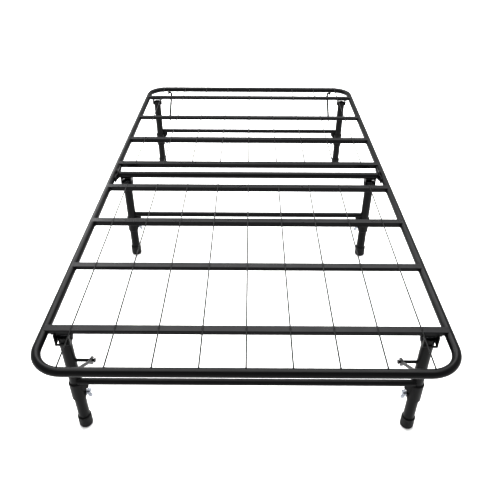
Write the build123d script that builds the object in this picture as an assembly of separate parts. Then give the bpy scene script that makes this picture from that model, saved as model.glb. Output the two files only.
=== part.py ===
from build123d import *
import os
from math import atan2, degrees, hypot, sqrt

# A folding metal platform bed frame, twin size, in millimetres.
# +X is to the right seen from the foot end, +Y is towards the head end, +Z is up.
# The origin is on the floor, under the middle of the frame.
#
# Two bent-tube halves meet just past the middle and are joined by a hinge at each side.
# The head half folds up and over onto the foot half. Three pairs of legs fold
# flat under the slats, and a forked strut braces each end leg.

# Overall sizes, measured over the tubes
WIDTH = 991.0
LENGTH = 1875.0
HEIGHT = 356.0  # floor to the plane that the mattress rests on

# Side and end rail: one U-shaped tube round each half
RAIL_R = 11.0
RAIL_WALL = 1.2
CORNER_R = 75.0  # on the tube's centre line
HALVES_GAP = 1.0  # between the tube ends of the two halves
HINGE_Y = 13.0  # the halves meet this far past the middle, towards the head end

# Slats: rectangular tubes across each half, counted from the middle outwards
SLAT_WALL = 1.2
SLAT_EDGE_R = 2.0
FIRST_SLAT_Y = 89.5  # from the middle to the first slat
LEG_SLAT_INSET = 140.5  # from the end of the frame to the slat over the end legs
SLAT_SHARES = (0.0, 0.314, 0.643, 1.0)  # places from the first slat to the leg slat
SLAT_DEPTHS = (24.0, 24.0, 22.0, 22.0)
SLAT_HEIGHTS = (15.5, 15.5, 11.0, 11.0)

# Wires along the frame, laid in dimples in the slats
WIRE_R = 1.6
WIRE_PITCH = 104.6
WIRE_CLEARANCE = 0.1
WIRE_SUNK = 0.6  # the wire's centre line below the mattress plane
WIRE_ON_RAIL = 7.5  # how far a wire reaches over the end rail

# Centre rail: a round tube across the frame between the hinges
CENTRE_RAIL_R = 11.0
CENTRE_RAIL_WALL = 1.2

# Hinges between the halves
HINGE_PLATE = 3.0
HINGE_GAP = 0.3  # between the two plates of one hinge
HINGE_RISE = 1.5  # pivot above the mattress plane
HINGE_EAR_R = 8.0
HINGE_NECK_R = 10.0
HINGE_NECK = 12.0  # from the pivot to the middle of the neck
HINGE_EAR_MARGIN = 0.5  # of the foot plate round the centre rail
HINGE_TIP_R = 6.0
PLATE_TO_SLAT = 5.0  # from the head plate's end to the first slat
FOOT_PLATE_LENGTH = 44.0
HINGE_JOGGLE = (14.0, 20.0)  # from the pivot to where the foot plate steps outwards
HINGE_PIN_R = 3.0
HINGE_PIN_HEAD_R = 5.0
HINGE_PIN_HEAD = 1.8
HINGE_PIN_HEAD_GAP = 0.1
HEAD_RIVETS_FROM_END = (28.0, 10.0)
FOOT_RIVET_BACK = 30.0  # from the pivot
RIVET_R = 3.2
RIVET_HEAD_R = 6.0
RIVET_HEAD = 2.2
RIVET_BULB_R = 4.5
RIVET_BULB = 3.0
RIVET_BULB_GAP = 0.2  # between the bulb and the curved wall inside the rail

# Running clearance of every pin in what turns on it, on the radius
PIN_CLEARANCE = 0.05

# How far a cut runs past the face that it opens
OVERRUN = 1.0

# Legs: an upper tube that folds and a lower tube clamped in its sleeve
LEG_R = 15.0
LEG_WALL = 1.5
LEG_INSET = 54.0  # from the side of the frame to the leg's centre line
LEG_JOINT_GAP = 0.5  # between upper and lower tube, inside the sleeve
LEG_ABOVE_PIN = 7.0
SLEEVE_WALL = 3.15
SLEEVE_FIT = 0.15
SLEEVE_LENGTH = 58.0
SLEEVE_BELOW_BAR = 1.5

# Brackets that carry the legs, one under each leg slat and under the centre rail
BRACKET_PLATE = 2.5
BRACKET_TOP = 2.0
BRACKET_SIDE_GAP = 1.0
BRACKET_FLANGE = 25.0  # half the length of the plate under the slat
CENTRE_FLANGE_INSET = 3.0  # from the side of the centre rail to the edge of the plate under it
CHEEK_INSET = 2.0  # from the side of the leg to the open edge of the cheek, at its top
CHEEK_NOTCH = (3.0, 2.0)  # the same at the level where the edge turns in, and its drop below the pin
CHEEK_BELOW_HEAD = 3.0  # under the head of the leg pin
CHEEK_TAIL = 4.0  # length of the cheek's foot inside the stop strap
CHEEK_R = 2.0
PIN_BELOW_SEAT = 19.5
STOP_GAP = 0.3
STOP_FROM = 8.0  # top of the stop strap below the pin
STOP_TO = 13.0
LEG_PIN_R = 4.0
LEG_PIN_HEAD_R = 6.5
LEG_PIN_HEAD = 2.0

# Crossbar and gusset of each pair of legs
BAR_R = 8.5
BAR_WALL = 1.2
BAR_OFFSET = 9.0  # end frames: the bar sits this far outside the legs' centre line
BAR_END_BACK = 9.5  # from the leg's centre line to the end of the bar
GUSSET = 3.0
GUSSET_REACH = 34.0  # from the leg's centre line
GUSSET_NOSE = 20.0  # height of the inner edge below the bar's centre line
GUSSET_TOE = 38.0  # lowest point below the bar's centre line
GUSSET_TOE_REACH = 18.5

# Foot caps
CAP_R = 18.0
CAP_HEIGHT = 36.0
CAP_FLOOR = 5.0
CAP_EDGE_R = 5.0
CAP_RIM_R = 1.5

# Wing screws that clamp the lower legs
SCREW_R = 3.95
SCREW_ABOVE_END = 16.0  # screw's axis above the sleeve's lower end
BOSS_R = 7.0
BOSS_LENGTH = 3.7
SCREW_HUB_R = 6.0
SCREW_HUB = 8.5
SCREW_HUB_GAP = 0.4
SCREW_TIP_GAP = 0.1
WING = 3.0
WING_LOBE_R = 5.5
WING_LOBE_OUT = 10.5
WING_LOBE_BACK = 7.5
WING_ROOT_R = 4.0

# Studs and forked struts of the end legs
STUD_R = 4.0
STUD_DROP = 80.0  # below the leg's pin
STUD_REACH = 61.0  # from the leg's centre line to the stud's end
STUD_HEAD_R = 6.0
STUD_HEAD = 2.0
STRUT_R = 4.0
STRUT_INSET = 55.0  # from the leg's centre line to the strut's run
STRUT_BEND_R = 8.0
STRUT_PIVOT_IN = 12.5  # from the end rail's centre line, inwards
STRUT_PIVOT_DROP = 12.0  # and downwards
STRUT_HEAD_R = 5.5
STRUT_HEAD = 1.5
FORK = 4.0
FORK_R = 10.0
FORK_NECK = 22.0
FORK_NECK_R = 5.0
FORK_CLEARANCE = 0.6
FORK_MOUTH_ANGLE = 10.0  # the mouth turns down from the strut's own line
LUG = 3.0
LUG_OUT = 12.0  # from the strut's run to the lug
LUG_R = 8.0
LUG_ROOT_R = 7.0
LUG_GAP = 0.3

# Places that several pieces share
RAIL_X = WIDTH / 2 - RAIL_R
RAIL_Y = LENGTH / 2 - RAIL_R
RAIL_Z = HEIGHT - RAIL_R
LEG_SLAT_Y = LENGTH / 2 - LEG_SLAT_INSET
SLAT_YS = [FIRST_SLAT_Y + share * (LEG_SLAT_Y - FIRST_SLAT_Y) for share in SLAT_SHARES]
WIRE_Z = HEIGHT - WIRE_SUNK
WIRES_PER_SIDE = int((RAIL_X - RAIL_R) // WIRE_PITCH)
WIRE_XS = [n * WIRE_PITCH for n in range(-WIRES_PER_SIDE, WIRES_PER_SIDE + 1)]
CENTRE_RAIL_Z = HEIGHT - CENTRE_RAIL_R
PLATE_FACE_X = RAIL_X - RAIL_R  # where both plates' outer layer lies on the rail
PLATE_MID_X = PLATE_FACE_X - HINGE_PLATE
INNER_PLATE_X = PLATE_MID_X - HINGE_GAP
CENTRE_RAIL_END_X = INNER_PLATE_X - HINGE_PLATE
HINGE_Z = HEIGHT + HINGE_RISE
HEAD_PLATE_END_Y = FIRST_SLAT_Y - SLAT_DEPTHS[0] / 2 - PLATE_TO_SLAT
HEAD_RIVETS_Y = [HEAD_PLATE_END_Y - back for back in HEAD_RIVETS_FROM_END]
FOOT_RIVETS_Y = [HINGE_Y - FOOT_RIVET_BACK]
LEG_X = WIDTH / 2 - LEG_INSET
END_PIN_Z = HEIGHT - SLAT_HEIGHTS[-1] - PIN_BELOW_SEAT
CENTRE_PIN_Z = HEIGHT - 2 * CENTRE_RAIL_R - PIN_BELOW_SEAT
BAR_Z = HEIGHT / 2
SLEEVE_R = LEG_R + SLEEVE_FIT + SLEEVE_WALL
SLEEVE_TOP = BAR_Z - BAR_R - SLEEVE_BELOW_BAR
SLEEVE_END = SLEEVE_TOP - SLEEVE_LENGTH
LEG_SPLIT_Z = (SLEEVE_TOP + SLEEVE_END) / 2
SCREW_Z = SLEEVE_END + SCREW_ABOVE_END
STUD_Z = END_PIN_Z - STUD_DROP
STRUT_X = LEG_X - STRUT_INSET
STRUT_PIVOT_Y = RAIL_Y - STRUT_PIVOT_IN
STRUT_PIVOT_Z = RAIL_Z - STRUT_PIVOT_DROP
STRUT_RUN_Y = STRUT_PIVOT_Y - LEG_SLAT_Y
STRUT_FALL = STRUT_PIVOT_Z - STUD_Z
STRUT_LENGTH = hypot(STRUT_RUN_Y, STRUT_FALL)
STRUT_ANGLE = degrees(atan2(STRUT_FALL, STRUT_RUN_Y))

FOOT, CENTRE, HEAD = -1, 0, 1  # which end of the frame a piece belongs to


def rod_x(radius, start, end, y, z):
    """A round rod along X."""
    return Pos((start + end) / 2, y, z) * Rot(0, 90, 0) * Cylinder(radius, abs(end - start))


def rod_y(radius, start, end, x, z):
    """A round rod along Y."""
    return Pos(x, (start + end) / 2, z) * Rot(90, 0, 0) * Cylinder(radius, abs(end - start))


def rod_z(radius, start, end, x, y):
    """An upright round rod."""
    return Pos(x, y, (start + end) / 2) * Cylinder(radius, abs(end - start))


def plate_x(outline, start, end):
    """A flat outline in Y and Z, as a plate from one X to another."""
    return extrude(Plane.YZ.offset(start) * outline, end - start)


def hull_of(*circles):
    """The outline round circles, each given as (across, up, radius)."""
    edges = [edge for a, b, radius in circles for edge in (Pos(a, b) * Circle(radius)).edges()]
    return make_hull(edges)


def left_and_right(piece):
    """A piece made for the right side, and its mirror image on the left."""
    return [piece, mirror(piece, about=Plane.YZ)]


def towards(end, piece):
    """A piece made for the head end, turned to face the end that is asked for."""
    return mirror(piece, about=Plane.XZ) if end == FOOT else piece


def save(name, *pieces):
    """Write one node's solids to its own file."""
    solids = [solid for piece in pieces for solid in piece.solids()]
    export_step(Compound(solids) if len(solids) > 1 else solids[0], f"parts/{name}.step")


# Halves ---------------------------------------------------------------------


def rail_sweep(end, section):
    """One half's U-shaped rail, swept from a section."""
    start = HINGE_Y + end * HALVES_GAP / 2
    path = FilletPolyline(
        (-RAIL_X, start, RAIL_Z),
        (-RAIL_X, end * RAIL_Y, RAIL_Z),
        (RAIL_X, end * RAIL_Y, RAIL_Z),
        (RAIL_X, start, RAIL_Z),
        radius=CORNER_R,
    )
    return sweep(Plane(origin=path @ 0, z_dir=path % 0) * section, path=path)


def rail(end, rivet_ys):
    """The bent tube, with holes in its inner wall for the hinge rivets."""
    tube = rail_sweep(end, Circle(RAIL_R) - Circle(RAIL_R - RAIL_WALL))
    for y in rivet_ys:
        tube -= left_and_right(rod_x(RIVET_R, PLATE_FACE_X - OVERRUN, RAIL_X, y, RAIL_Z))
    return tube


def slat(number):
    """A rectangular tube across the half, coped to the rails and dimpled for the wires."""
    y, depth, height = SLAT_YS[number], SLAT_DEPTHS[number], SLAT_HEIGHTS[number]
    centre = Pos(y, HEIGHT - height / 2)
    outer = RectangleRounded(depth, height, SLAT_EDGE_R)
    inner = RectangleRounded(depth - 2 * SLAT_WALL, height - 2 * SLAT_WALL, SLAT_EDGE_R / 2)
    bar = plate_x(centre * outer, -RAIL_X, RAIL_X)
    hollow = plate_x(centre * inner, -RAIL_X, RAIL_X)
    groove_r = WIRE_R + WIRE_CLEARANCE
    for x in WIRE_XS:
        bar -= rod_y(groove_r, y - depth, y + depth, x, WIRE_Z)
        hollow -= rod_y(groove_r + SLAT_WALL, y - depth, y + depth, x, WIRE_Z)
    bar -= hollow
    bar -= left_and_right(rod_y(RAIL_R, y - depth, y + depth, RAIL_X, RAIL_Z))
    return bar


def wires(end, rail_outer):
    """The straight wires from the first slat to the end rail."""
    start = SLAT_YS[0] - SLAT_DEPTHS[0] / 2
    stop = RAIL_Y - RAIL_R + WIRE_ON_RAIL
    return [towards(end, rod_y(WIRE_R, start, stop, x, WIRE_Z) - rail_outer) for x in WIRE_XS]


def centre_rail():
    """The round tube between the two hinges."""
    end = CENTRE_RAIL_END_X
    tube = rod_x(CENTRE_RAIL_R, -end, end, HINGE_Y, CENTRE_RAIL_Z)
    return tube - rod_x(CENTRE_RAIL_R - CENTRE_RAIL_WALL, -end, end, HINGE_Y, CENTRE_RAIL_Z)


# Hinges ---------------------------------------------------------------------


def rivet(y):
    """A blind rivet through a hinge plate into the right-hand rail."""
    wall_depth = RAIL_R - sqrt((RAIL_R - RAIL_WALL) ** 2 - RIVET_BULB_R**2)
    bulb_x = PLATE_FACE_X + wall_depth + RIVET_BULB_GAP
    head = rod_x(RIVET_HEAD_R, PLATE_MID_X - RIVET_HEAD, PLATE_MID_X, y, RAIL_Z)
    head = fillet(head.edges().group_by(Axis.X)[0], RIVET_HEAD / 2)
    shank = rod_x(RIVET_R, PLATE_MID_X, bulb_x, y, RAIL_Z)
    return head + shank + rod_x(RIVET_BULB_R, bulb_x, bulb_x + RIVET_BULB, y, RAIL_Z)


def strap(start, stop):
    """The long part of a hinge plate, beside the rail, rounded where it stops."""
    body = Pos((start + stop) / 2, RAIL_Z) * Rectangle(abs(stop - start), 2 * HINGE_NECK_R)
    return fillet(body.vertices().group_by(Axis.X)[-1 if stop > start else 0], HINGE_TIP_R)


def head_hinge_plate():
    """The plate riveted to the head half's right-hand rail; it turns on the hinge pin."""
    neck_y = HINGE_Y + HINGE_NECK
    ear = hull_of((HINGE_Y, HINGE_Z, HINGE_EAR_R), (neck_y, RAIL_Z, HINGE_NECK_R))
    plate = plate_x(ear + strap(neck_y, HEAD_PLATE_END_Y), PLATE_MID_X, PLATE_FACE_X)
    hole_r = HINGE_PIN_R + PIN_CLEARANCE
    plate -= rod_x(hole_r, PLATE_MID_X - OVERRUN, PLATE_FACE_X + OVERRUN, HINGE_Y, HINGE_Z)
    for y in HEAD_RIVETS_Y:
        plate -= rod_x(RIVET_R, PLATE_MID_X - OVERRUN, PLATE_FACE_X + OVERRUN, y, RAIL_Z)
    return plate


def foot_hinge_plate():
    """The plate on the foot half's right-hand rail, stepped inwards past the head plate."""
    neck_y = HINGE_Y - HINGE_NECK
    end_y = HINGE_Y - FOOT_PLATE_LENGTH
    step_near, step_far = (HINGE_Y - back for back in HINGE_JOGGLE)
    ear = hull_of(
        (HINGE_Y, HINGE_Z, HINGE_EAR_R),
        (HINGE_Y, CENTRE_RAIL_Z, CENTRE_RAIL_R + HINGE_EAR_MARGIN),
        (neck_y, RAIL_Z, HINGE_NECK_R),
    )
    whole = ear + strap(neck_y, end_y)
    inner_zone = Pos(step_far + FOOT_PLATE_LENGTH, RAIL_Z) * Rectangle(2 * FOOT_PLATE_LENGTH, 4 * RAIL_R)
    outer_zone = Pos(step_near - FOOT_PLATE_LENGTH, RAIL_Z) * Rectangle(2 * FOOT_PLATE_LENGTH, 4 * RAIL_R)
    plate = plate_x(whole & inner_zone, CENTRE_RAIL_END_X, INNER_PLATE_X)
    plate += plate_x(whole & outer_zone, PLATE_MID_X, PLATE_FACE_X)
    plate += plate_x(whole & outer_zone & inner_zone, CENTRE_RAIL_END_X, PLATE_FACE_X)
    start, stop = CENTRE_RAIL_END_X - OVERRUN, PLATE_FACE_X + OVERRUN
    plate -= rod_x(HINGE_PIN_R, start, stop, HINGE_Y, HINGE_Z)
    for y in FOOT_RIVETS_Y:
        plate -= rod_x(RIVET_R, start, stop, y, RAIL_Z)
    return plate


def hinge_pin():
    """The right-hand hinge pin, fixed in the foot plate, with its head outside."""
    head_x = PLATE_FACE_X + HINGE_PIN_HEAD_GAP
    shank = rod_x(HINGE_PIN_R, CENTRE_RAIL_END_X, head_x, HINGE_Y, HINGE_Z)
    return shank + rod_x(HINGE_PIN_HEAD_R, head_x, head_x + HINGE_PIN_HEAD, HINGE_Y, HINGE_Z)


# Leg brackets ---------------------------------------------------------------


def leg_bracket(end):
    """Two cheeks, the plate they hang from and a stop strap outside the right-hand leg."""
    pin_y, pin_z = leg_pin_place(end)
    inside = LEG_R + BRACKET_SIDE_GAP
    outside = inside + BRACKET_PLATE
    strap_from = LEG_R + STOP_GAP
    strap_to = strap_from + BRACKET_PLATE
    rise = PIN_BELOW_SEAT if end != CENTRE else PIN_BELOW_SEAT + CENTRE_RAIL_R / 2
    outline = Polyline(
        (-LEG_R + CHEEK_INSET, rise),
        (strap_to, rise),
        (strap_to, -STOP_TO),
        (strap_from - CHEEK_TAIL, -STOP_TO),
        (-LEG_PIN_R, -LEG_PIN_HEAD_R - CHEEK_BELOW_HEAD),
        (-LEG_R + CHEEK_NOTCH[0], -CHEEK_NOTCH[1]),
        close=True,
    )
    cheek = fillet(make_face(outline).vertices().group_by(Axis.Y)[:-1], CHEEK_R)
    bracket = plate_x(cheek, inside, outside) + plate_x(cheek, -outside, -inside)
    top_half = SLAT_DEPTHS[-1] / 2 if end != CENTRE else CENTRE_RAIL_R - CENTRE_FLANGE_INSET
    flange = BRACKET_FLANGE if end != CENTRE else outside
    top_z = PIN_BELOW_SEAT - BRACKET_TOP / 2
    bracket += Pos(0, 0, top_z) * Box(2 * flange, 2 * top_half, BRACKET_TOP)
    stop_z = -(STOP_FROM + STOP_TO) / 2
    stop = Box(2 * outside, BRACKET_PLATE, STOP_TO - STOP_FROM)
    bracket += Pos(0, (strap_from + strap_to) / 2, stop_z) * stop
    bracket -= rod_x(LEG_PIN_R, -outside - OVERRUN, outside + OVERRUN, 0, 0)
    if end == CENTRE:
        rail_z = PIN_BELOW_SEAT + CENTRE_RAIL_R
        bracket -= rod_x(CENTRE_RAIL_R, -outside - OVERRUN, outside + OVERRUN, 0, rail_z)
    bracket = towards(end, Pos(LEG_X, 0, pin_z) * bracket)
    return Pos(0, pin_y, 0) * bracket


def leg_pin_place(end):
    """Y and Z of the pins that a pair of legs folds on."""
    return (HINGE_Y, CENTRE_PIN_Z) if end == CENTRE else (end * LEG_SLAT_Y, END_PIN_Z)


def leg_pin(end):
    """The rivet through the right-hand bracket and the leg's top."""
    pin_y, pin_z = leg_pin_place(end)
    half = LEG_R + BRACKET_SIDE_GAP + BRACKET_PLATE
    pin = rod_x(LEG_PIN_R, LEG_X - half, LEG_X + half, pin_y, pin_z)
    pin += rod_x(LEG_PIN_HEAD_R, LEG_X + half, LEG_X + half + LEG_PIN_HEAD, pin_y, pin_z)
    pin += rod_x(LEG_PIN_HEAD_R, LEG_X - half - LEG_PIN_HEAD, LEG_X - half, pin_y, pin_z)
    return pin


# Leg frames -----------------------------------------------------------------


def upper_leg(end):
    """The right-hand leg tube, from its pivot hole to the middle of the sleeve."""
    pin_y, pin_z = leg_pin_place(end)
    top = pin_z + LEG_ABOVE_PIN
    tube = rod_z(LEG_R, LEG_SPLIT_Z + LEG_JOINT_GAP / 2, top, LEG_X, pin_y)
    tube -= rod_z(LEG_R - LEG_WALL, LEG_SPLIT_Z, top + OVERRUN, LEG_X, pin_y)
    tube -= rod_x(LEG_PIN_R + PIN_CLEARANCE, LEG_X - 2 * LEG_R, LEG_X + 2 * LEG_R, pin_y, pin_z)
    return tube


def lower_leg(y):
    """The right-hand lower leg tube, from the sleeve into the foot cap."""
    top = LEG_SPLIT_Z - LEG_JOINT_GAP / 2
    tube = rod_z(LEG_R, CAP_FLOOR, top, LEG_X, y)
    return tube - rod_z(LEG_R - LEG_WALL, CAP_FLOOR - OVERRUN, top + OVERRUN, LEG_X, y)


def sleeve(y):
    """The socket that joins upper and lower leg, with the wing screw's boss."""
    boss_end = LEG_X - SLEEVE_R - BOSS_LENGTH
    body = rod_z(SLEEVE_R, SLEEVE_END, SLEEVE_TOP, LEG_X, y)
    body = chamfer(body.edges().filter_by(GeomType.CIRCLE), SLEEVE_WALL / 3)
    body += rod_x(BOSS_R, boss_end, LEG_X - LEG_R, y, SCREW_Z)
    body -= rod_z(LEG_R + SLEEVE_FIT, SLEEVE_END - OVERRUN, SLEEVE_TOP + OVERRUN, LEG_X, y)
    hole_r = SCREW_R + PIN_CLEARANCE
    return body - rod_x(hole_r, boss_end - OVERRUN, LEG_X - LEG_R + OVERRUN, y, SCREW_Z)


def crossbar(end):
    """The round bar between the two legs, coped to them."""
    pin_y, pin_z = leg_pin_place(end)
    y = pin_y + end * BAR_OFFSET
    half = LEG_X - (BAR_END_BACK if end != CENTRE else 0)
    bar = rod_x(BAR_R, -half, half, y, BAR_Z) - rod_x(BAR_R - BAR_WALL, -half, half, y, BAR_Z)
    return bar - left_and_right(rod_z(LEG_R, BAR_Z - 2 * BAR_R, BAR_Z + 2 * BAR_R, LEG_X, pin_y))


def gusset(end):
    """The plate in the right-hand corner under the crossbar."""
    pin_y, pin_z = leg_pin_place(end)
    y = pin_y + end * BAR_OFFSET
    outline = Polyline(
        (LEG_X, BAR_Z),
        (LEG_X - GUSSET_REACH, BAR_Z),
        (LEG_X - GUSSET_REACH, BAR_Z - GUSSET_NOSE),
        (LEG_X - GUSSET_TOE_REACH, BAR_Z - GUSSET_TOE),
        (LEG_X, BAR_Z - GUSSET_TOE),
        close=True,
    )
    plate = Pos(0, y, 0) * extrude(Plane.XZ * make_face(outline), GUSSET / 2, both=True)
    plate -= rod_x(BAR_R, 0, LEG_X, y, BAR_Z)
    plate -= rod_z(LEG_R, SLEEVE_END, BAR_Z + BAR_R, LEG_X, pin_y)
    plate -= rod_z(SLEEVE_R, SLEEVE_END, SLEEVE_TOP, LEG_X, pin_y)
    return plate.solids().sort_by(Axis.X)[0]


def foot_cap(y):
    """The moulded cap pushed onto the right-hand lower leg."""
    cap = rod_z(CAP_R, 0, CAP_HEIGHT, LEG_X, y)
    cap = fillet(cap.edges().group_by(Axis.Z)[0], CAP_EDGE_R)
    cap = fillet(cap.edges().group_by(Axis.Z)[-1], CAP_RIM_R)
    return cap - rod_z(LEG_R + SLEEVE_FIT, CAP_FLOOR, CAP_HEIGHT + OVERRUN, LEG_X, y)


def stud(end):
    """The headed stud on the inner side of the right-hand end leg."""
    pin_y, pin_z = leg_pin_place(end)
    tip = LEG_X - STUD_REACH
    pin = rod_x(STUD_R, tip, LEG_X, pin_y, STUD_Z)
    pin += rod_x(STUD_HEAD_R, tip - STUD_HEAD, tip, pin_y, STUD_Z)
    return pin - rod_z(LEG_R, STUD_Z - 2 * STUD_R, STUD_Z + 2 * STUD_R, LEG_X, pin_y)


def wing_screw(y):
    """The right-hand wing screw, pointing at the leg from inside."""
    tip = LEG_X - LEG_R - SCREW_TIP_GAP
    hub_start = LEG_X - SLEEVE_R - BOSS_LENGTH - SCREW_HUB_GAP
    hub_end = hub_start - SCREW_HUB
    screw = rod_x(SCREW_R, hub_start, tip, y, SCREW_Z)
    hub = rod_x(SCREW_HUB_R, hub_end, hub_start, y, SCREW_Z)
    screw += fillet(hub.edges().group_by(Axis.X)[0], SCREW_HUB_R / 3)
    for side in (-1, 1):
        wing = hull_of(
            (hub_start - WING_LOBE_BACK, SCREW_Z + side * WING_LOBE_OUT, WING_LOBE_R),
            (hub_start - WING_ROOT_R, SCREW_Z + side * WING_ROOT_R / 2, WING_ROOT_R),
        )
        screw += Pos(0, y, 0) * extrude(Plane.XZ * wing, WING / 2, both=True)
    return screw


# Struts ---------------------------------------------------------------------


def strut(end):
    """The right-hand strut: a rod bent into the lug, flattened to a fork at its foot."""
    lug_end = LUG_OUT + LUG
    path = FilletPolyline(
        (lug_end + LUG_GAP, 0, 0),
        (0, 0, 0),
        (0, FORK_NECK / 2 - STRUT_LENGTH, 0),
        radius=STRUT_BEND_R,
    )
    rod = sweep(Plane(origin=path @ 0, z_dir=path % 0) * Circle(STRUT_R), path=path)
    rod += rod_x(STRUT_HEAD_R, lug_end + LUG_GAP, lug_end + LUG_GAP + STRUT_HEAD, 0, 0)
    fork = hull_of((-STRUT_LENGTH, 0, FORK_R), (FORK_NECK - STRUT_LENGTH, 0, FORK_NECK_R))
    mouth_r = STUD_R + FORK_CLEARANCE
    mouth = Pos(-STRUT_LENGTH, 0) * Rot(0, 0, 180 + FORK_MOUTH_ANGLE)
    fork -= mouth * (Circle(mouth_r) + Pos(FORK_R, 0) * Rectangle(2 * FORK_R, 2 * mouth_r))
    rod += plate_x(fork, -FORK / 2, FORK / 2)
    rod -= rod_x(mouth_r, -FORK, FORK, -STRUT_LENGTH, 0)
    hanging = Pos(STRUT_X, STRUT_PIVOT_Y, STRUT_PIVOT_Z) * Rot(STRUT_ANGLE, 0, 0) * rod
    return towards(end, hanging)


def strut_lug(end, rail_outer):
    """The plate under the end rail that the right-hand strut turns in."""
    outline = hull_of(
        (STRUT_PIVOT_Y, STRUT_PIVOT_Z, LUG_R),
        (RAIL_Y, RAIL_Z, LUG_ROOT_R),
    )
    start = STRUT_X + LUG_OUT
    plate = plate_x(outline, start, start + LUG) - rail_outer
    hole_r = STRUT_R + PIN_CLEARANCE
    plate -= rod_x(hole_r, start - OVERRUN, start + LUG + OVERRUN, STRUT_PIVOT_Y, STRUT_PIVOT_Z)
    return towards(end, plate.solids().sort_by(Axis.Z)[0])


def build():
    """Make every piece and write each node."""
    os.makedirs("parts", exist_ok=True)
    rail_outer = rail_sweep(HEAD, Circle(RAIL_R))
    ends = {"foot": FOOT, "head": HEAD}
    frames = {"foot": FOOT, "centre": CENTRE, "head": HEAD}
    rivet_rows = {"foot": FOOT_RIVETS_Y, "head": HEAD_RIVETS_Y}

    for name, end in ends.items():
        save(f"{name}_rail", rail(end, rivet_rows[name]))
        for number in range(len(SLAT_YS)):
            save(f"{name}_slat_{number + 1}", towards(end, slat(number)))
        save(f"{name}_wires", *wires(end, rail_outer))
        rivets = [left_and_right(rivet(y)) for y in rivet_rows[name]]
        save(f"{name}_hinge_rivets", *[each for pair in rivets for each in pair])
        save(f"{name}_strut_lugs", *left_and_right(strut_lug(end, rail_outer)))
        struts = left_and_right(strut(end))
        save(f"{name}_strut_right", struts[0])
        save(f"{name}_strut_left", struts[1])
        save(f"{name}_leg_studs", *left_and_right(stud(end)))

    save("centre_rail", centre_rail())
    save("head_hinge_plates", *left_and_right(head_hinge_plate()))
    save("foot_hinge_plates", *left_and_right(foot_hinge_plate()))
    save("hinge_pins", *left_and_right(hinge_pin()))

    for name, end in frames.items():
        y = leg_pin_place(end)[0]
        save(f"{name}_leg_brackets", *left_and_right(leg_bracket(end)))
        save(f"{name}_leg_pins", *left_and_right(leg_pin(end)))
        legs = left_and_right(upper_leg(end))
        save(f"{name}_leg_right", legs[0])
        save(f"{name}_leg_left", legs[1])
        save(f"{name}_lower_legs", *left_and_right(lower_leg(y)))
        save(f"{name}_sleeves", *left_and_right(sleeve(y)))
        save(f"{name}_crossbar", crossbar(end))
        save(f"{name}_gussets", *left_and_right(gusset(end)))
        save(f"{name}_foot_caps", *left_and_right(foot_cap(y)))
        screws = left_and_right(wing_screw(y))
        save(f"{name}_wing_screw_right", screws[0])
        save(f"{name}_wing_screw_left", screws[1])


build()
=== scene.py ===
from math import acos, asin, cos, pi, radians, sin, sqrt

import bmesh
import bpy
import numpy as np
from mathutils import Matrix, Vector, noise


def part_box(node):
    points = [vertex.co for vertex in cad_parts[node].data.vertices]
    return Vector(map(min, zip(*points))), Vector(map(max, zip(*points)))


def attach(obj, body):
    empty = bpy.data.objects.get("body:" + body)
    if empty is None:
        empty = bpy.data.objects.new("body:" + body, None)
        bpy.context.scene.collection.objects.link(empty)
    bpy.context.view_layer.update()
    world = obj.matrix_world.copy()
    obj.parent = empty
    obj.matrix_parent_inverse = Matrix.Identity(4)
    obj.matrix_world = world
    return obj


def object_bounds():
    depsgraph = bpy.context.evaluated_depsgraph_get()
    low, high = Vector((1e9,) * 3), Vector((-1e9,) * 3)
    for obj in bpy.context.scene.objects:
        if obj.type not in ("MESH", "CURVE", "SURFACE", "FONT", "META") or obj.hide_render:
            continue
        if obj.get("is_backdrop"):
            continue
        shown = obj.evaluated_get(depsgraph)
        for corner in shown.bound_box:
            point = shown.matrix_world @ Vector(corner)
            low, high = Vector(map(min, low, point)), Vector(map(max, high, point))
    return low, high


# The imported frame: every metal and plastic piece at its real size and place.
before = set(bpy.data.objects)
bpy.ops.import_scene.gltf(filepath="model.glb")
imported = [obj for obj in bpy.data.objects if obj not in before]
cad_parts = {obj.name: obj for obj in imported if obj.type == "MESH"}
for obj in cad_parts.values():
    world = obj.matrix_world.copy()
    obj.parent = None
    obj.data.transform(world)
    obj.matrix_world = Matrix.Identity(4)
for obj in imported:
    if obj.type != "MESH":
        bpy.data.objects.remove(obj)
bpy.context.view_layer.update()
MM = 0.001
HALVES = {"foot": "foot_half", "head": "head_half"}
LEG_PAIRS = ("foot", "centre", "head")
SIDES = ("right", "left")


# Side and end rails -----------------------------------------------------------
# Two U-shaped steel tubes, 22 mm across, bent on a mandrel and powder coated black.
# The coat is a thick, hard, half-glossy film, so highlights run as soft lines on the tube.


def linear(hex_code):
    """An sRGB hex colour as linear red, green, blue and alpha."""
    parts = [int(hex_code[at:at + 2], 16) / 255 for at in (1, 3, 5)]
    return [p / 12.92 if p <= 0.04045 else ((p + 0.055) / 1.055) ** 2.4 for p in parts] + [1]


def add(tree, kind, settings=(), links=()):
    """Add a node, set its properties and inputs, and link its inputs to other outputs."""
    node = tree.nodes.new(kind)
    for name, value in dict(settings).items():
        if isinstance(name, str) and hasattr(node, name):
            setattr(node, name, value)
        else:
            node.inputs[name].default_value = value
    for name, source in dict(links).items():
        tree.links.new(source, node.inputs[name])
    return node


def new_material(name):
    """An empty material, its node tree and the object's own coordinates in metres."""
    material = bpy.data.materials.new(name)
    material.use_nodes = True
    material.node_tree.nodes.clear()
    place = add(material.node_tree, "ShaderNodeTexCoord").outputs["Object"]
    return material, material.node_tree, place


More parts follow.
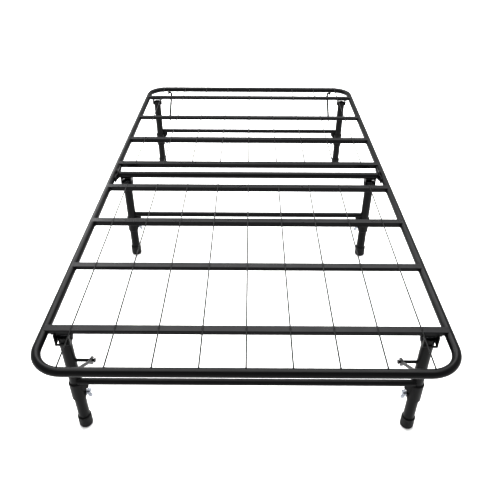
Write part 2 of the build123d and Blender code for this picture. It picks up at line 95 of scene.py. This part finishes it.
def powder_coat(name, film, thin_film, smooth, worn, peel_mm, peel_height_mm):
    """Black polyester powder, baked on steel.

    The film flows into a faint orange peel, pigment settles a little unevenly, and
    handling leaves slow changes of gloss. The peel of a real coat is 1 to 2 mm across;
    it is drawn coarser, so that it still breaks up a highlight at arm's length.
    """
    material, tree, place = new_material(name)
    peel = add(tree, "ShaderNodeTexNoise", {"Scale": 1 / (peel_mm * MM), "Detail": 2.0,
                                            "Roughness": 0.4}, {"Vector": place})
    handling = add(tree, "ShaderNodeTexNoise", {"Scale": 1 / (70 * MM), "Detail": 4.0,
                                                "Roughness": 0.6}, {"Vector": place})
    colour = add(tree, "ShaderNodeMix", {"data_type": "RGBA", 6: linear(film),
                                         7: linear(thin_film)},
                 {"Factor": handling.outputs["Fac"]})
    gloss = add(tree, "ShaderNodeMapRange", {"From Min": 0.35, "From Max": 0.7,
                                             "To Min": smooth, "To Max": worn},
                {"Value": handling.outputs["Fac"]})
    bump = add(tree, "ShaderNodeBump", {"Distance": peel_height_mm * MM, "Strength": 1.0},
               {"Height": peel.outputs["Fac"]})
    coat = add(tree, "ShaderNodeBsdfPrincipled", {"IOR": 1.5, "Specular IOR Level": 0.3},
               {"Base Color": colour.outputs[2], "Roughness": gloss.outputs["Result"],
                "Normal": bump.outputs["Normal"]})
    add(tree, "ShaderNodeOutputMaterial", {}, {"Surface": coat.outputs["BSDF"]})
    return material


def finish_nodes(material, *names):
    """Give CAD nodes their finish."""
    for name in names:
        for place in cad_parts[name].material_slots:
            place.material = material


low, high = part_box("foot_rail")
rail_r = (high.z - low.z) / 2
rail_x = high.x - rail_r
rail_z = high.z - rail_r
end_rail_y = -low.y - rail_r
deck_z = high.z

rail_coat = powder_coat("black_powder_coat_on_rail_tube", film="#060607", thin_film="#0B0B0D",
                        smooth=0.3, worn=0.4, peel_mm=5, peel_height_mm=0.05)
finish_nodes(rail_coat, "foot_rail", "head_rail")


# Slats ------------------------------------------------------------------------
# Eight rectangular steel tubes across the frame, coped to the rails, welded all round
# under the deck and powder coated with them. Their flat tops show the coat's gloss best.


def spaced(path, step):
    """A path of points as points one step apart along it."""
    points = np.array([tuple(point) for point in path])
    lengths = np.linalg.norm(np.diff(points, axis=0), axis=1)
    at = np.concatenate([[0.0], np.cumsum(lengths)])
    wanted = np.linspace(0, at[-1], max(4, round(at[-1] / step)))
    return [Vector(point) for point in np.stack([np.interp(wanted, at, axis)
                                                 for axis in points.T], axis=1)]


def lay_bead(mesh, path, radius, ripple=1.8 * MM):
    """Lay a weld bead along a path: overlapping ripples, thinner where it starts and stops."""
    round_steps, ripple_steps = 8, 4
    points = spaced(path, ripple / ripple_steps)
    side, rings = None, []
    for number, point in enumerate(points):
        ahead = points[min(number + 1, len(points) - 1)] - points[max(number - 1, 0)]
        ahead.normalize()
        side = side - side.dot(ahead) * ahead if side else ahead.orthogonal()
        side.normalize()
        up = ahead.cross(side)
        from_end = min(number, len(points) - 1 - number) / ripple_steps
        taper = min(1.0, 0.35 + 0.4 * from_end)
        wave = 0.9 + 0.1 * cos(2 * pi * number / ripple_steps)
        uneven = 1 + 0.16 * noise.noise(point / (3 * MM))
        size = radius * taper * wave * uneven
        angles = [2 * pi * turn / round_steps for turn in range(round_steps)]
        rings.append([mesh.verts.new(point + size * (cos(a) * side + sin(a) * up))
                      for a in angles])
    for one, two in zip(rings, rings[1:]):
        for turn in range(round_steps):
            after = (turn + 1) % round_steps
            mesh.faces.new((one[turn], one[after], two[after], two[turn]))
    mesh.faces.new(rings[0][::-1])
    mesh.faces.new(rings[-1])


def make_piece(name, mesh, body, material):
    """Turn a finished bmesh into a piece that rides on a body."""
    bmesh.ops.recalc_face_normals(mesh, faces=mesh.faces)
    data = bpy.data.meshes.new(name)
    mesh.to_mesh(data)
    mesh.free()
    data.polygons.foreach_set("use_smooth", [True] * len(data.polygons))
    data.materials.append(material)
    piece = bpy.data.objects.new(name, data)
    bpy.context.scene.collection.objects.link(piece)
    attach(piece, body)
    return piece


def weld(name, body, paths, radius):
    """One piece that holds all the beads of a kind on one body."""
    mesh = bmesh.new()
    for path in paths:
        lay_bead(mesh, path, radius)
    return make_piece(name, mesh, body, weld_coat)


def mirrored(path):
    """A right-hand path, on the left."""
    return [Vector((-point[0], point[1], point[2])) for point in path]


# The slats' copy of the coat is drawn a little lighter and bluer than the rails': a painted cool
# highlight, as well as a real lower roughness.
slat_coat_with_painted_cool_highlight = powder_coat("black_powder_coat_on_slat_tube_painted_cool_highlight", film="#070709", thin_film="#0E0E12",
                        smooth=0.26, worn=0.38, peel_mm=5, peel_height_mm=0.05)
weld_coat = powder_coat("black_powder_coat_over_weld_beads", film="#060607", thin_film="#0C0C0E",
                        smooth=0.34, worn=0.46, peel_mm=2, peel_height_mm=0.06)
SLAT_NUMBERS = range(1, 5)
SLAT_BEAD_R = 1.5 * MM
BEAD_TOP_ANGLE = radians(128)  # up the rail's side, short of the deck

slats = {end: [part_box(f"{end}_slat_{number}") for number in SLAT_NUMBERS] for end in HALVES}
for end, half in HALVES.items():
    finish_nodes(slat_coat_with_painted_cool_highlight, *[f"{end}_slat_{number}" for number in SLAT_NUMBERS])
    beads = []
    for low, high in slats[end]:
        bottom_angle = pi + asin((rail_z - low.z) / rail_r)
        climb = np.linspace(BEAD_TOP_ANGLE, bottom_angle, 9)
        arc = [(rail_x + rail_r * cos(a), rail_z + rail_r * sin(a)) for a in climb]
        path = [(x, low.y, z) for x, z in arc] + [(x, high.y, z) for x, z in arc[::-1]]
        beads += [path, mirrored(path)]
    weld(f"{end}_slat_welds", half, beads, SLAT_BEAD_R)


# Deck wires -------------------------------------------------------------------
# Nine straight drawn wires in each half, 3.2 mm thick, laid in dimples in the slats and
# fixed with a spot of weld on both sides. A thin coat leaves them a little glossier.

wire_coat = powder_coat("black_powder_coat_on_drawn_wire", film="#080809", thin_film="#0D0D0F",
                        smooth=0.28, worn=0.36, peel_mm=3, peel_height_mm=0.02)
WIRES = 9
SPOT_LENGTH = 9 * MM
SPOT_R = 0.9 * MM
SPOT_OUT = 1.9 * MM  # from the wire's centre line
SPOT_SUNK = 0.2 * MM  # below the deck
END_SPOT = (8.0 * MM, 3.5 * MM)  # on the end rail, from its centre line inwards

low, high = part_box("foot_wires")
wire_r = (high.z - low.z) / 2
wire_pitch = (high.x - low.x - 2 * wire_r) / (WIRES - 1)
wire_xs = [low.x + wire_r + number * wire_pitch for number in range(WIRES)]
for end, half in HALVES.items():
    finish_nodes(wire_coat, f"{end}_wires")
    sign = 1 if end == "head" else -1
    spots = []
    for x in [x + side * SPOT_OUT for x in wire_xs for side in (-1, 1)]:
        for low, high in slats[end]:
            middle = (low.y + high.y) / 2
            spots.append([(x, middle + reach, deck_z - SPOT_SUNK)
                          for reach in (-SPOT_LENGTH / 2, 0, SPOT_LENGTH / 2)])
        on_rail = [(back, sqrt(rail_r**2 - back**2)) for back in np.linspace(*END_SPOT, 5)]
        spots.append([(x, sign * (end_rail_y - back), rail_z + up) for back, up in on_rail])
    weld(f"{end}_wire_spot_welds", half, spots, SPOT_R)


# Centre rail ------------------------------------------------------------------
# A round tube across the frame, just under the deck, welded between the two foot-half
# hinge plates. It is coated with the rails, and a light line runs along its top.

finish_nodes(rail_coat, "centre_rail")
CENTRE_BEAD_R = 1.6 * MM
CENTRE_BEAD_SPAN = (radians(140), radians(400))  # round the tube, open under the deck's level
CENTRE_BEAD_OFF = 0.4 * MM  # from the tube's end and from its surface

low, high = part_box("centre_rail")
centre_r = (high.z - low.z) / 2
hinge_y = (low.y + high.y) / 2
centre_rail_z = (low.z + high.z) / 2
round_rail = [(high.x - CENTRE_BEAD_OFF, hinge_y + (centre_r + CENTRE_BEAD_OFF) * cos(a),
               centre_rail_z + (centre_r + CENTRE_BEAD_OFF) * sin(a))
              for a in np.linspace(*CENTRE_BEAD_SPAN, 40)]
weld("centre_rail_welds", "foot_half", [round_rail, mirrored(round_rail)],
     CENTRE_BEAD_R)


# Hinges -----------------------------------------------------------------------
# Pressed 3 mm steel plates, riveted to the rails' inner sides and joined by a headed pin.
# The plates are coated; the rivets and pins are black zinc, duller and more metallic.


def black_zinc(name, plated, rubbed):
    """Steel with a black-passivated zinc plate, rubbed brighter where parts turn on it."""
    material, tree, place = new_material(name)
    rub = add(tree, "ShaderNodeTexNoise", {"Scale": 1 / (4 * MM), "Detail": 5.0,
                                           "Roughness": 0.65}, {"Vector": place})
    patches = add(tree, "ShaderNodeMapRange", {"From Min": 0.5, "From Max": 0.72},
                  {"Value": rub.outputs["Fac"]})
    colour = add(tree, "ShaderNodeMix", {"data_type": "RGBA", 6: linear(plated),
                                         7: linear(rubbed)},
                 {"Factor": patches.outputs["Result"]})
    gloss = add(tree, "ShaderNodeMapRange", {"To Min": 0.46, "To Max": 0.28},
                {"Value": patches.outputs["Result"]})
    bump = add(tree, "ShaderNodeBump", {"Distance": 0.03 * MM}, {"Height": rub.outputs["Fac"]})
    zinc = add(tree, "ShaderNodeBsdfPrincipled", {"Metallic": 1.0},
               {"Base Color": colour.outputs[2], "Roughness": gloss.outputs["Result"],
                "Normal": bump.outputs["Normal"]})
    add(tree, "ShaderNodeOutputMaterial", {}, {"Surface": zinc.outputs["BSDF"]})
    return material


plate_coat = powder_coat("black_powder_coat_on_pressed_plate", film="#070708",
                         thin_film="#0E0E10", smooth=0.32, worn=0.46, peel_mm=4,
                         peel_height_mm=0.06)
black_zinc_steel = black_zinc("black_zinc_plated_steel", plated="#2B2B2E", rubbed="#6A6A6C")
finish_nodes(plate_coat, "foot_hinge_plates", "head_hinge_plates")
finish_nodes(black_zinc_steel, "foot_hinge_rivets", "head_hinge_rivets", "hinge_pins")


def domed_end(mesh, centre, radius, height, outward):
    """A low dome on the end of a pin, on a face whose outward direction is along X."""
    steps, turns = 5, 20
    rings = []
    for step in range(steps):
        lift = step / steps * pi / 2
        x = centre[0] + outward * height * sin(lift)
        rings.append([mesh.verts.new((x, centre[1] + radius * cos(lift) * cos(2 * pi * t / turns),
                                      centre[2] + radius * cos(lift) * sin(2 * pi * t / turns)))
                      for t in range(turns)])
    tip = mesh.verts.new((centre[0] + outward * height, centre[1], centre[2]))
    for one, two in zip(rings, rings[1:]):
        for turn in range(turns):
            after = (turn + 1) % turns
            mesh.faces.new((one[turn], one[after], two[after], two[turn]))
    for turn in range(turns):
        mesh.faces.new((rings[-1][turn], rings[-1][(turn + 1) % turns], tip))
    mesh.faces.new(rings[0][::-1])


PEEN_R = 2.9 * MM
PEEN_HEIGHT = 1.0 * MM
low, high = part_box("hinge_pins")
pin_z = (low.z + high.z) / 2
inner_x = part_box("centre_rail")[1].x
mesh = bmesh.new()
for side in (1, -1):
    domed_end(mesh, (side * inner_x, hinge_y, pin_z), PEEN_R, PEEN_HEIGHT, -side)
make_piece("hinge_pin_peened_ends", mesh, "foot_half", black_zinc_steel)


# Leg brackets -----------------------------------------------------------------
# Pressed saddles that hold the leg tops, seam welded along their flanges under the leg
# slats, and round the centre rail. Each has a strap that stops its leg upright.

BRACKET_BEAD_R = 1.2 * MM
SEAM_INSET = 3 * MM  # from the ends of the flange
SEAM_UNDER = 0.3 * MM  # the slat
SEAM_FROM_SIDE = 0.4 * MM  # of the slat
for pair in LEG_PAIRS:
    finish_nodes(plate_coat, f"{pair}_leg_brackets")
leg_x = sum(corner.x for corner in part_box("foot_leg_right")) / 2
for end, half in HALVES.items():
    low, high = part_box(f"{end}_leg_brackets")
    slat_low, slat_high = slats[end][-1]
    half_flange = high.x - leg_x
    ends = (leg_x - half_flange + SEAM_INSET, leg_x + half_flange - SEAM_INSET)
    seams = [[(ends[0], y, slat_low.z - SEAM_UNDER), (ends[1], y, slat_low.z - SEAM_UNDER)]
             for y in (slat_low.y + SEAM_FROM_SIDE, slat_high.y - SEAM_FROM_SIDE)]
    weld(f"{end}_leg_bracket_seams", half,
         seams + [mirrored(seam) for seam in seams], BRACKET_BEAD_R)


# Leg pins ---------------------------------------------------------------------
# Solid steel rivets through bracket and leg, set cold with a domed head on both sides,
# black zinc like the hinge pins.

for pair in LEG_PAIRS:
    finish_nodes(black_zinc_steel, f"{pair}_leg_pins")


# Legs -------------------------------------------------------------------------
# Upper and lower legs of 30 mm steel tube, powder coated like the rails. The tube is
# drawn a little rougher, so its highlights are softer and break up along the length.

leg_coat = powder_coat("black_powder_coat_on_leg_tube", film="#060607", thin_film="#0C0C0E",
                       smooth=0.33, worn=0.44, peel_mm=6, peel_height_mm=0.07)
for pair in LEG_PAIRS:
    finish_nodes(leg_coat, f"{pair}_leg_right", f"{pair}_leg_left", f"{pair}_lower_legs")


# Sleeves ----------------------------------------------------------------------
# Short sockets, welded round the end of each upper leg, that the lower leg slides into.
# A threaded boss for the wing screw is welded to the inner side.


RING_REACH = 0.95  # how far round the tube a ring can go, as a share of its radius


def joint_ring(tube_y, tube_r, bar_y, bar_z, bar_r):
    """Where a bar along X, coming from inside, meets the right-hand leg's round tube."""
    offset = bar_y - tube_y
    reach = tube_r * RING_REACH
    away = 1 if offset >= 0 else -1
    open_angle = acos(min(1.0, (reach - abs(offset)) / bar_r))
    ring = []
    for turn in np.linspace(open_angle, 2 * pi - open_angle, 40):
        across = away * bar_r * cos(turn)
        x = leg_x - sqrt(tube_r**2 - (offset + across) ** 2)
        ring.append((x, bar_y + across, bar_z + bar_r * sin(turn)))
    return ring


SLEEVE_BEAD_R = 1.5 * MM
SLEEVE_BEAD_OUT = 0.7 * MM  # from the leg's surface
SLEEVE_BEAD_UP = 0.3 * MM  # from the sleeve's top
BOSS_BEAD_R = 1.3 * MM
BOSS_BEAD_OUT = 0.3 * MM  # from the boss's surface
BOSS_R = 7 * MM
low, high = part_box("foot_leg_right")
leg_r = (high.x - low.x) / 2
low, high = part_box("foot_sleeves")
sleeve_r = (high.y - low.y) / 2
sleeve_top = high.z
low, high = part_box("foot_wing_screw_right")
screw_z = (low.z + high.z) / 2
pair_y = {}
for pair in LEG_PAIRS:
    finish_nodes(leg_coat, f"{pair}_sleeves")
    low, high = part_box(f"{pair}_leg_right")
    pair_y[pair] = (low.y + high.y) / 2
    bead_at = leg_r + SLEEVE_BEAD_OUT
    ring = [(leg_x + bead_at * cos(a), pair_y[pair] + bead_at * sin(a),
             sleeve_top + SLEEVE_BEAD_UP) for a in np.linspace(0, 2 * pi, 50)]
    weld(f"{pair}_sleeve_welds", f"{pair}_legs", [ring, mirrored(ring)],
         SLEEVE_BEAD_R)
    boss = joint_ring(pair_y[pair], sleeve_r, pair_y[pair], screw_z, BOSS_R + BOSS_BEAD_OUT)
    weld(f"{pair}_boss_welds", f"{pair}_legs", [boss, mirrored(boss)], BOSS_BEAD_R)


# Crossbars and gussets ----------------------------------------------------------
# A round bar ties the two legs of each pair, with a sheared plate welded in each corner
# under it. All of it is coated with the legs.

BAR_BEAD_R = 1.5 * MM
GUSSET_BEAD_R = 1.2 * MM
GUSSET_BEAD_SHORT = 1 * MM  # at each end of the run
GUSSET_REACH = 0.98  # the same share for the gusset's runs
for pair in LEG_PAIRS:
    body = f"{pair}_legs"
    finish_nodes(leg_coat, f"{pair}_crossbar")
    finish_nodes(plate_coat, f"{pair}_gussets")
    low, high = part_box(f"{pair}_crossbar")
    bar_r = (high.z - low.z) / 2
    bar_y, bar_z = (low.y + high.y) / 2, (low.z + high.z) / 2
    ring = joint_ring(pair_y[pair], leg_r, bar_y, bar_z, bar_r)
    weld(f"{pair}_crossbar_welds", body, [ring, mirrored(ring)], BAR_BEAD_R)
    gusset_low, gusset_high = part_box(f"{pair}_gussets")
    half_plate = (gusset_high.y - gusset_low.y) / 2
    plate_y = (gusset_high.y + gusset_low.y) / 2
    runs = []
    for face in (-half_plate, half_plate):
        y = plate_y + face
        reach = min(abs(y - pair_y[pair]), leg_r * GUSSET_REACH)
        x = leg_x - sqrt(sleeve_r**2 - reach**2)
        runs.append([(x, y, z) for z in (gusset_low.z + GUSSET_BEAD_SHORT,
                                     sleeve_top - GUSSET_BEAD_SHORT)])
    weld(f"{pair}_gusset_welds", body, runs + [mirrored(run) for run in runs],
         GUSSET_BEAD_R)


# Foot caps --------------------------------------------------------------------
# Black polyethylene, injection moulded, pushed onto the lower legs. The mould was spark
# eroded, so the plastic is matt, with a soft sheen on its rounded rim.


def moulded_polyethylene(name, skin, scuffed):
    """Matt moulded plastic: fine eroded grain, paler where the rim has rubbed."""
    material, tree, place = new_material(name)
    # Spark-eroded grain is 0.1 to 0.2 mm; it is drawn at 1.5 mm so that it shows.
    grain = add(tree, "ShaderNodeTexNoise", {"Scale": 1 / (1.5 * MM), "Detail": 3.0},
                {"Vector": place})
    scuff = add(tree, "ShaderNodeTexNoise", {"Scale": 1 / (14 * MM), "Detail": 5.0,
                                             "Roughness": 0.7}, {"Vector": place})
    marks = add(tree, "ShaderNodeMapRange", {"From Min": 0.52, "From Max": 0.75},
                {"Value": scuff.outputs["Fac"]})
    colour = add(tree, "ShaderNodeMix", {"data_type": "RGBA", 6: linear(skin),
                                         7: linear(scuffed)},
                 {"Factor": marks.outputs["Result"]})
    bump = add(tree, "ShaderNodeBump", {"Distance": 0.06 * MM}, {"Height": grain.outputs["Fac"]})
    plastic = add(tree, "ShaderNodeBsdfPrincipled", {"IOR": 1.51, "Roughness": 0.5,
                                                     "Specular IOR Level": 0.4},
                  {"Base Color": colour.outputs[2], "Normal": bump.outputs["Normal"]})
    add(tree, "ShaderNodeOutputMaterial", {}, {"Surface": plastic.outputs["BSDF"]})
    return material


cap_plastic = moulded_polyethylene("moulded_black_polyethylene", skin="#0E0E0F",
                                   scuffed="#1D1D1E")
for pair in LEG_PAIRS:
    finish_nodes(cap_plastic, f"{pair}_foot_caps")


# Wing screws --------------------------------------------------------------------
# Cast wing heads on M8 screws, bright zinc plated: the only pale metal on the frame.
# The casting stays slightly grainy under the plate, so it gleams without mirroring.


def bright_zinc(name, plated, dulled):
    """Bright zinc on a small casting: silvery, grainy, duller in patches."""
    material, tree, place = new_material(name)
    grain = add(tree, "ShaderNodeTexNoise", {"Scale": 1 / (1.2 * MM), "Detail": 4.0},
                {"Vector": place})
    patch = add(tree, "ShaderNodeTexNoise", {"Scale": 1 / (8 * MM), "Detail": 3.0},
                {"Vector": place})
    colour = add(tree, "ShaderNodeMix", {"data_type": "RGBA", 6: linear(plated),
                                         7: linear(dulled)},
                 {"Factor": patch.outputs["Fac"]})
    gloss = add(tree, "ShaderNodeMapRange", {"To Min": 0.24, "To Max": 0.44},
                {"Value": patch.outputs["Fac"]})
    bump = add(tree, "ShaderNodeBump", {"Distance": 0.05 * MM}, {"Height": grain.outputs["Fac"]})
    zinc = add(tree, "ShaderNodeBsdfPrincipled", {"Metallic": 1.0},
               {"Base Color": colour.outputs[2], "Roughness": gloss.outputs["Result"],
                "Normal": bump.outputs["Normal"]})
    add(tree, "ShaderNodeOutputMaterial", {}, {"Surface": zinc.outputs["BSDF"]})
    return material


cast_zinc = bright_zinc("bright_zinc_plated_casting", plated="#B9BCC2", dulled="#8B8E94")
for pair in LEG_PAIRS:
    finish_nodes(cast_zinc, *[f"{pair}_wing_screw_{side}" for side in SIDES])


# Struts, studs and lugs -----------------------------------------------------------
# Bent 8 mm rods, flattened to a fork that hooks over a headed stud on each end leg. They
# turn in lugs welded under the end rails. The thin coat on the rod stays glossy.

strut_coat = powder_coat("black_powder_coat_on_bent_rod", film="#070708", thin_film="#0D0D0F",
                         smooth=0.27, worn=0.38, peel_mm=4, peel_height_mm=0.03)
LUG_BEAD_R = 1.2 * MM
LUG_BEAD_SPAN = (radians(186), radians(262))  # round the rail, from its inner side down
LUG_BEAD_OUT = 0.3 * MM  # from the rail's surface
LUG_PLATE = 3 * MM
STUD_BEAD_R = 1.0 * MM
STUD_RING_R = 4.2 * MM
for end, half in HALVES.items():
    finish_nodes(strut_coat, f"{end}_strut_right", f"{end}_strut_left", f"{end}_leg_studs")
    finish_nodes(plate_coat, f"{end}_strut_lugs")
    sign = 1 if end == "head" else -1
    lug_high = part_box(f"{end}_strut_lugs")[1]
    lug_faces = (lug_high.x - LUG_PLATE, lug_high.x)
    around = [(sign * (end_rail_y + (rail_r + LUG_BEAD_OUT) * cos(a)),
               rail_z + (rail_r + LUG_BEAD_OUT) * sin(a)) for a in np.linspace(*LUG_BEAD_SPAN, 12)]
    beads = [[(x, y, z) for y, z in around] for x in lug_faces]
    weld(f"{end}_strut_lug_welds", half,
         beads + [mirrored(bead) for bead in beads], LUG_BEAD_R)
    stud_low, stud_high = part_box(f"{end}_leg_studs")
    stud_z = (stud_low.z + stud_high.z) / 2
    ring = joint_ring(pair_y[end], leg_r, pair_y[end], stud_z, STUD_RING_R)
    weld(f"{end}_stud_welds", f"{end}_legs", [ring, mirrored(ring)], STUD_BEAD_R)


# Studio -------------------------------------------------------------------------
# A pale seamless floor that runs into a pale surround, lit by a large softbox overhead
# and a smaller one behind and to the left, which puts the light on the slats' tops.

FLOOR_SIZE = 60.0
BLACK_DEPTH = 0.68
floor_mesh = bmesh.new()
bmesh.ops.create_grid(floor_mesh, x_segments=1, y_segments=1, size=FLOOR_SIZE / 2)
floor_data = bpy.data.meshes.new("studio_floor")
floor_mesh.to_mesh(floor_data)
floor_mesh.free()
floor = bpy.data.objects.new("studio_floor", floor_data)
bpy.context.scene.collection.objects.link(floor)
floor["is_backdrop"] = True

paper, tree, place = new_material("matt_white_paper")
sheet = add(tree, "ShaderNodeBsdfPrincipled", {"Base Color": linear("#F7F7F7"), "Roughness": 0.9,
                                               "Specular IOR Level": 0.2})
add(tree, "ShaderNodeOutputMaterial", {}, {"Surface": sheet.outputs["BSDF"]})
floor_data.materials.append(paper)

world = bpy.data.worlds.new("pale_studio")
world.use_nodes = True
world.node_tree.nodes.clear()
up = add(world.node_tree, "ShaderNodeTexCoord")
height = add(world.node_tree, "ShaderNodeSeparateXYZ", {}, {"Vector": up.outputs["Generated"]})
fade = add(world.node_tree, "ShaderNodeMapRange", {"From Min": 0.5, "From Max": 0.9,
                                                   "To Min": 1.0, "To Max": 0.3},
           {"Value": height.outputs["Z"]})
surround = add(world.node_tree, "ShaderNodeBackground", {"Color": linear("#FFFFFF")},
               {"Strength": fade.outputs["Result"]})
add(world.node_tree, "ShaderNodeOutputWorld", {}, {"Surface": surround.outputs["Background"]})
bpy.context.scene.world = world


def softbox(name, at, aim, width, depth, watts):
    """A rectangular area light at a place, turned to face a point."""
    lamp = bpy.data.lights.new(name, "AREA")
    lamp.shape = "RECTANGLE"
    lamp.size, lamp.size_y, lamp.energy = width, depth, watts
    box = bpy.data.objects.new(name, lamp)
    box.location = at
    box.rotation_euler = (Vector(aim) - Vector(at)).to_track_quat("-Z", "Y").to_euler()
    bpy.context.scene.collection.objects.link(box)


softbox("overhead_softbox", (0, 1.2, 3.6), (0, 1.0, 0.35), 4.4, 6.0, 420)
softbox("rear_left_softbox", (-2.2, 3.0, 2.0), (-0.2, 0.2, 0.35), 1.4, 0.8, 40)
bpy.context.scene.view_settings.view_transform = "Standard"
# A gamma below one deepens the blacks, so the coat reads darker here than its own colours do.
bpy.context.scene.view_settings.gamma = BLACK_DEPTH


# Camera -------------------------------------------------------------------------
# It stands past the foot end at eye height of a seated person, looking down along the frame.

CAMERA_AT = Vector((0.0073, -1.7536, 1.2608))
CAMERA_DOWN = radians(35.217)
CAMERA_TILT = radians(0.3)
camera_data = bpy.data.cameras.new("studio_camera")
camera_data.lens = 39.31
camera_data.sensor_width = 36
camera = bpy.data.objects.new("studio_camera", camera_data)
camera.matrix_world = (Matrix.Translation(CAMERA_AT) @ Matrix.Rotation(pi / 2 - CAMERA_DOWN, 4, "X")
                       @ Matrix.Rotation(CAMERA_TILT, 4, "Z"))
bpy.context.scene.collection.objects.link(camera)
bpy.context.scene.camera = camera

low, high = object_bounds()
